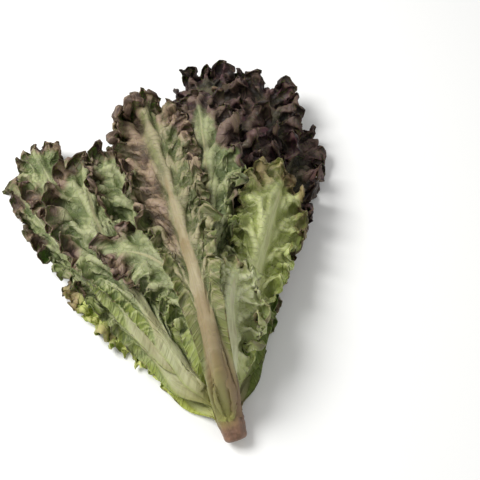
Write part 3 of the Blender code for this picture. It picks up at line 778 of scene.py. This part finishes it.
def stem_piece():
    """The cut stem, with ridges, old leaf scars and a worn end with a hollow face."""
    turn = np.linspace(0, 2 * math.pi, STEM_AROUND, endpoint=False)
    along, across = heading(STEM_TURN)
    forward = np.array([*(along * math.cos(STEM_TILT)), math.sin(STEM_TILT)])
    right = np.array([*across, 0.0])
    above = np.cross(right, forward)
    cut_end = np.array([*CUT_END, CUT_HEIGHT])
    points, looks = [], {"cut": [], "radial": [], "way": [], "above": [], "round": [], "right": []}
    for way, radius, cut, radial in stem_rings(turn):
        points.append(cut_end + forward * way[:, None] + right * (radius * np.cos(turn))[:, None]
                      + above * (radius * np.sin(turn))[:, None])
        read = (cut, radial, way / 0.012, way / MM, 7 * np.cos(turn) + 11 * np.sin(turn),
                0.5 + 0.5 * np.cos(turn))
        for values, value in zip(looks.values(), read):
            values.append(np.broadcast_to(value, STEM_AROUND))
    last = (len(points) - 1) * STEM_AROUND
    count = last + STEM_AROUND
    points = np.concatenate([*points, [points[0].mean(axis=0), points[-1].mean(axis=0)]])
    points[:, 2] = np.maximum(points[:, 2], OFF_FLOOR)
    looks = {key: np.concatenate([*rows, [rows[0].mean(), rows[-1].mean()]]) for key, rows in looks.items()}
    faces = []
    for row in range(0, last, STEM_AROUND):
        for k in range(STEM_AROUND):
            a, b = row + k, row + (k + 1) % STEM_AROUND
            faces += [(a, b, b + STEM_AROUND), (a, b + STEM_AROUND, a + STEM_AROUND)]
    for k in range(STEM_AROUND):
        after = (k + 1) % STEM_AROUND
        faces += [(count, after, k), (count + 1, last + k, last + after)]
    piece = fine_object("stem", points, np.array(faces), looks, stem_skin())
    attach(piece, "root")
    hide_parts("stem")


def feed(node, inputs, tree):
    """Gives a node's inputs each a number, a hex colour or a link to another node's output."""
    for key, value in inputs.items():
        if isinstance(value, bpy.types.NodeSocket):
            tree.links.new(value, node.inputs[key])
        else:
            node.inputs[key].default_value = linear(value) if isinstance(value, str) else value


def add(tree, inputs, kind, output=0, **settings):
    """Adds a node with its inputs and settings, and gives its output of this name or number."""
    made = tree.nodes.new(kind)
    for key, value in settings.items():
        setattr(made, key, value)
    feed(made, inputs, tree)
    return made.outputs[output]


# Nodes that the skins use often: one colour over another, products, how far between two values, and noise
OVER = {"kind": "ShaderNodeMix", "output": 2, "data_type": "RGBA"}
TIMES = {"kind": "ShaderNodeMath", "operation": "MULTIPLY"}
TIMES_PLUS = {"kind": "ShaderNodeMath", "operation": "MULTIPLY_ADD"}
BETWEEN = {"kind": "ShaderNodeMapRange", "output": "Result", "interpolation_type": "SMOOTHSTEP"}
CLOUDS = {"kind": "ShaderNodeTexNoise", "output": "Fac"}


def new_skin(name, *keys):
    """A new skin, its node tree, its shader, and what it reads at each point."""
    skin = bpy.data.materials.new(name)
    skin.use_nodes = True
    tree = skin.node_tree
    read = {key: add(tree, {}, "ShaderNodeAttribute", "Fac", attribute_name=key) for key in keys}
    return skin, tree, tree.nodes["Principled BSDF"], read


def leaf_skin(name, green, deep, pale, young, flushed, flesh, flush, wilted=0.0, tip=0.0):
    """Lettuce leaf: a thin waxy skin over soft tissue, green in the shade, flushed brown and purple towards
    the tip and margins that the light reached, with paler raised veins. The eye gets matt, mottled, crumpled
    cloth with a faint waxy light on its ridges, painted shade in its folds and fine creases, and painted
    highlight on its crests and blister tops."""
    skin, tree, shader, read = new_skin(
        name + "_lettuce_leaf", "inside", "vein", "rib", "along", "crest", "wrinkle", "blade", "left",
        "flat_x", "flat_y", "right", "inner")
    brown, purple, shade, light = flushed
    flat = add(tree, {"X": read["flat_x"], "Y": read["flat_y"]}, "ShaderNodeCombineXYZ")
    patch = {key: add(tree, {"Vector": flat, "Scale": 1000 / across, "Detail": 4.0}, **CLOUDS)
             for key, across in PATCH_MM.items()}
    net = add(tree, {"Vector": flat, "Scale": 1000 / NET_MM}, "ShaderNodeTexVoronoi", "Distance",
              feature="DISTANCE_TO_EDGE")
    fibre = {key: add(tree, {0: read["flat_" + key.lower()], 1: 1000 / size}, **TIMES)
             for key, size in FIBRE_MM.items()}
    fibre = add(tree, fibre, "ShaderNodeCombineXYZ")
    fibre = add(tree, {"Vector": fibre, "Scale": 1.0, "Detail": 2.0}, **CLOUDS)

    # How much of each thing a place shows: what tells it, where that starts and is full, and the most of it
    spans = {
        "deeper": (patch["green"], 0.38, 0.62, 1.0), "margin": (read["inside"], 30.0, 0.0, 1.0),
        "hem": (read["inside"], 20.0, 5.0, 1.0), "low": (read["along"], 0.72, 0.40, 1.0),
        "high": (read["along"], 0.20, 0.80, 1.0), "sunlit": (patch["green"], 0.35, 0.55, 0.75),
        "purple": (patch["purple"], 0.48, 0.62, 1.0), "faded": (read["along"], 0.35, 0.50, wilted),
        "off_hem": (read["inside"], 5.0, 24.0, 1.0), "tip": (read["along"], 0.60, 0.78, tip),
        # The crest and wrinkle readings drive painted shade in folds and creases and painted highlight on
        # crests
        "fold": (read["crest"], 0.50, 0.10, 0.6), "painted_ridge_highlight": (read["crest"], 0.50, 0.95, 0.35),
        "painted_crease_shade": (read["wrinkle"], 0.50, 0.15, 0.55), "painted_blister_highlight": (read["wrinkle"], 0.55, 0.95, 0.35),
        "net": (net, 0.09, 0.0, 1.0), "off_rib": (read["rib"], 0.3, 0.05, 1.0),
        "netted": (patch["net"], 0.30, 0.70, 0.55), "pale_rib": (patch["rib"], 0.35, 0.65, 1.0),
        "fibre": (fibre, 0.35, 0.70, 0.35), "rib": (read["rib"], 0.05, 0.60, 1.0),
        "rim": (read["inside"], 1.6, 0.2, 0.75), "rim_patch": (patch["edge"], 0.45, 0.60, 1.0),
        "burnt": (patch["purple"], 0.50, 0.62, 1.0), "speck": (patch["speck"], 0.70, 0.76, 0.6),
    }
    show = {key: add(tree, {"Value": value, "From Min": low, "From Max": high, "To Max": most}, **BETWEEN)
            for key, (value, low, high, most) in spans.items()}

    # Shares that hold only where both of a pair do
    both = {key: add(tree, {0: first, 1: second}, **TIMES) for key, first, second in (
        ("margin", show["margin"], read["blade"]), ("low_hem", show["hem"], show["low"]),
        ("net", show["net"], show["off_rib"]), ("rim", show["rim"], show["rim_patch"]),
        ("faded", read["left"], show["faded"]), ("vein", read["vein"], 0.45))}
    high_margin = add(tree, {0: both["margin"], 1: show["high"]}, **TIMES)
    low_hem = add(tree, {0: both["low_hem"], 1: show["sunlit"]}, **TIMES)
    pale_net = add(tree, {0: both["net"], 1: show["netted"]}, **TIMES)
    faded = add(tree, {0: both["faded"], 1: show["off_hem"]}, **TIMES)

    # The light's flush gathers in clouds, more by the margin, towards the tip and on the inner face. A
    # wilted leaf has faded all over its left half but for its hem
    redness = 0.0
    for value, weight in ((patch["flush"], 1.9), (both["margin"], 0.2), (high_margin, 0.55),
                          (read["along"], 0.3), (show["tip"], 1.0), (read["inner"], 0.12),
                          (read["wrinkle"], 0.12)):
        redness = add(tree, {0: value, 1: weight, 2: redness}, **TIMES_PLUS)
    clouds = add(tree, {"Value": redness, "From Min": 1.38 - flush, "From Max": 1.82 - flush}, **BETWEEN)
    flush_here = add(tree, {0: clouds, 1: faded}, "ShaderNodeMath", operation="MAXIMUM")
    foot = add(tree, {0: patch["foot"], 1: 0.06, 2: read["along"]}, **TIMES_PLUS)
    foot = add(tree, {"Value": foot, "From Min": 0.17, "From Max": 0.04}, **BETWEEN)

    # What lies there, each as one colour turning to another
    # deep is the painted shade of folds and creases; pale is the veins' own paleness and painted highlight
    here = {key: add(tree, {0: share, 6: one, 7: other}, **OVER) for key, share, one, other in (
        ("tissue", show["deeper"], green, deep), ("flushed", show["purple"], brown, purple),
        ("deep", flush_here, deep, shade), ("pale", flush_here, pale, light),
        ("flesh", show["pale_rib"], pale, flesh), ("rim", show["burnt"], "#3A2620", "#5E4628"),
        ("foot", read["right"], "#929050", "#7C6248"))}
    fleshy = add(tree, {0: show["fibre"], 6: here["flesh"], 7: "#77714A"}, **OVER)

    # One over another, from the tissue up; painted shade in folds and creases, painted highlight on crests
    colour = here["tissue"]
    for share, over in (
            (low_hem, young), (flush_here, here["flushed"]), (show["fold"], here["deep"]),
            (show["painted_ridge_highlight"], here["pale"]), (show["painted_crease_shade"], here["deep"]), (show["painted_blister_highlight"], here["pale"]),
            (pale_net, here["pale"]), (both["vein"], here["pale"]), (show["rib"], fleshy),
            (both["rim"], here["rim"]), (show["speck"], "#4A4228"), (foot, here["foot"])):
        colour = add(tree, {0: share, 6: colour, 7: over}, **OVER)
    waxy = add(tree, {"Value": patch["foot"], "To Min": 0.46, "To Max": 0.68}, "ShaderNodeMapRange")
    grain = add(tree, {0: both["net"], 1: 0.35, 2: patch["grain"]}, **TIMES_PLUS)
    bump = add(tree, {"Height": grain, "Strength": 0.9, "Distance": 1.2 * MM}, "ShaderNodeBump")
    feed(shader, {
        "Base Color": colour, "Roughness": waxy, "Normal": bump, "Specular IOR Level": 0.35,
        "Subsurface Weight": 0.22, "Subsurface Radius": (0.7, 1.0, 0.3), "Subsurface Scale": 2.2 * MM}, tree)
    return skin


def stem_skin():
    """Lettuce stem, cut with a knife: a ribbed waxy skin, pinkish brown by the cut and olive green above, and
    a cut face with a brown rim round its paler pith. The eye gets fine lengthwise lines and dull patches."""
    skin, tree, shader, read = new_skin(
        "cut_lettuce_stem", "cut", "radial", "way", "above", "round", "right")
    place = add(tree, {}, "ShaderNodeTexCoord", "Object")
    blotch = add(tree, {"Vector": place, "Scale": 1000 / BLOTCH_MM, "Detail": 4.0}, **CLOUDS)
    round_stem = add(tree, {"X": read["round"], "Y": read["way"]}, "ShaderNodeCombineXYZ")
    lines = add(tree, {"Vector": round_stem, "Scale": 1.0, "Detail": 3.0}, **CLOUDS)
    spans = {
        "blotch": (blotch, 0.35, 0.65), "above": (read["above"], 6.0, 18.0),
        "left": (read["right"], 0.95, 0.35), "line": (lines, 0.4, 0.7),
        "pith": (read["radial"], 0.55, 0.80), "rind": (read["radial"], 0.9, 1.0),
    }
    show = {key: add(tree, {"Value": value, "From Min": low, "From Max": high}, **BETWEEN)
            for key, (value, low, high) in spans.items()}
    both = {key: add(tree, {0: show[key], 1: show[other]}, **TIMES) for key, other in (
        ("above", "left"), ("line", "blotch"), ("rind", "blotch"))}
    colour, fresh, face = (add(tree, {0: share, 6: one, 7: other}, **OVER) for share, one, other in (
        (show["blotch"], "#86654F", "#6C4E3B"), (show["blotch"], "#8D8546", "#757038"),
        (show["pith"], "#C2B48C", "#866C4A")))
    face = add(tree, {0: both["rind"], 6: face, 7: "#5E4030"}, **OVER)
    for share, over in ((both["above"], fresh), (both["line"], "#5E4834"), (read["cut"], face)):
        colour = add(tree, {0: share, 6: colour, 7: over}, **OVER)
    bump = add(tree, {"Height": lines, "Strength": 0.4, "Distance": 0.6 * MM}, "ShaderNodeBump")
    feed(shader, {
        "Base Color": colour, "Roughness": 0.5, "Normal": bump, "Subsurface Weight": 0.15,
        "Subsurface Radius": (1.0, 0.8, 0.4), "Subsurface Scale": 2 * MM}, tree)
    return skin


def photo_camera():
    """The picture's viewing angle: 64 degrees down on the head, which leans 16 degrees to the left."""
    down, lean, far = math.radians(64), math.radians(16), 0.520
    target = Vector((0.0019, 0.13055, 0.030))
    turned = Matrix.Rotation(-lean, 4, "Z")
    looked_at = turned @ target + Vector((*CUT_END, 0))
    ahead = turned @ Vector((0, math.cos(down), -math.sin(down)))
    lens = bpy.data.cameras.new("camera")
    lens.lens, lens.sensor_width = 57, 36
    camera = placed("camera", lens)
    camera.location = looked_at - ahead * far
    camera.rotation_euler = ahead.to_track_quat("-Z", "Y").to_euler()
    bpy.context.scene.camera = camera


def studio():
    """A pale floor and soft light from the upper left."""
    mesh = bpy.data.meshes.new("floor")
    mesh.from_pydata([(-3, -3, 0), (3, -3, 0), (3, 3, 0), (-3, 3, 0)], [], [(0, 1, 2, 3)])
    # Matt paper: the eye gets soft shadows and no shine
    paper, tree, shader, _ = new_skin("pale_paper")
    feed(shader, {"Base Color": "#F4F4F2", "Roughness": 0.9}, tree)
    mesh.materials.append(paper)
    floor = placed("floor", mesh)
    world = bpy.data.worlds.new("soft_sky")
    world.use_nodes = True
    feed(world.node_tree.nodes["Background"], {"Color": "#FFFFFF", "Strength": 0.5}, world.node_tree)
    bpy.context.scene.world = world
    bpy.context.scene.view_settings.view_transform = "Standard"
    for name, place, size, power in (
            ("window", (-0.45, 0.25, 0.8), 0.45, 9), ("fill", (0.7, -0.6, 0.6), 0.8, 1)):
        lamp = bpy.data.lights.new(name, "AREA")
        lamp.size, lamp.energy = size, power
        light = placed(name, lamp)
        light.location = place
        light.rotation_euler = (Vector((0, 0, 0.03)) - light.location).to_track_quat("-Z", "Y").to_euler()


# What the light has flushed: brown, purple, and its painted shade in a fold and painted highlight on a crest
SOFT_FLUSH = ("#6B563E", "#684C4A", "#3A2C20", "#968270")
FADED_FLUSH = ("#7A6450", "#6F5650", "#3E2F24", "#A08A74")
TIP_FLUSH = ("#4C3B2E", "#553C40", "#251A14", "#7C6A5A")
WARM_FLUSH = ("#7F7044", "#785C4C", "#4E4226", "#AD9C72")
DARK_FLUSH = ("#38291D", "#4E2935", "#160E0B", "#68534A")

# Each skin's kind of leaf, green, deeper green that is also its painted shade, pale for its veins and its
# painted highlight on crests, lit low hem, flush, rib's flesh and how far the flush has spread, and then how
# wilted it is and how dark its tip
SKINS = {
    "outer": ("outer", "#868E5C", "#586439", "#B0B288", "#98A24C", SOFT_FLUSH, "#A7A27A", -0.27),
    "front": ("wilting", "#787D4F", "#4C542C", "#A3987A", "#7E8048", FADED_FLUSH, "#8B7856",
              -0.32, 0.9, 0.25),
    "tipped": ("dark_tipped", "#7C8454", "#505C35", "#A8AA80", "#8E9848", TIP_FLUSH, "#9C9870",
               -0.27, 0.0, 0.6),
    "pale": ("pale", "#BAC188", "#979E62", "#CED2A8", "#B8BF7A", WARM_FLUSH, "#C4C09C", -0.5),
    "fresh": ("fresh", "#AEB66C", "#87914A", "#C8CD96", "#B2BC58", WARM_FLUSH, "#C2C094", -0.4),
    "bright": ("bright", "#A8AE50", "#84923C", "#C8CE80", "#A8B04C", WARM_FLUSH, "#B4B878", -0.5),
    "inner": ("inner", "#6A7742", "#424E28", "#8E9664", "#7C8840", SOFT_FLUSH, "#9A996C", -0.08),
    "red": ("red", "#403E26", "#1E1A12", "#5A5440", "#48462A", DARK_FLUSH, "#665C44", 0.14),
}

photo_camera()
studio()
skins = {key: leaf_skin(*told) for key, told in SKINS.items()}
pile = Pile()
for number, leaf in enumerate(LEAVES):
    leaf_piece(leaf, number, pile, skins)
stem_piece()
bpy.context.view_layer.update()
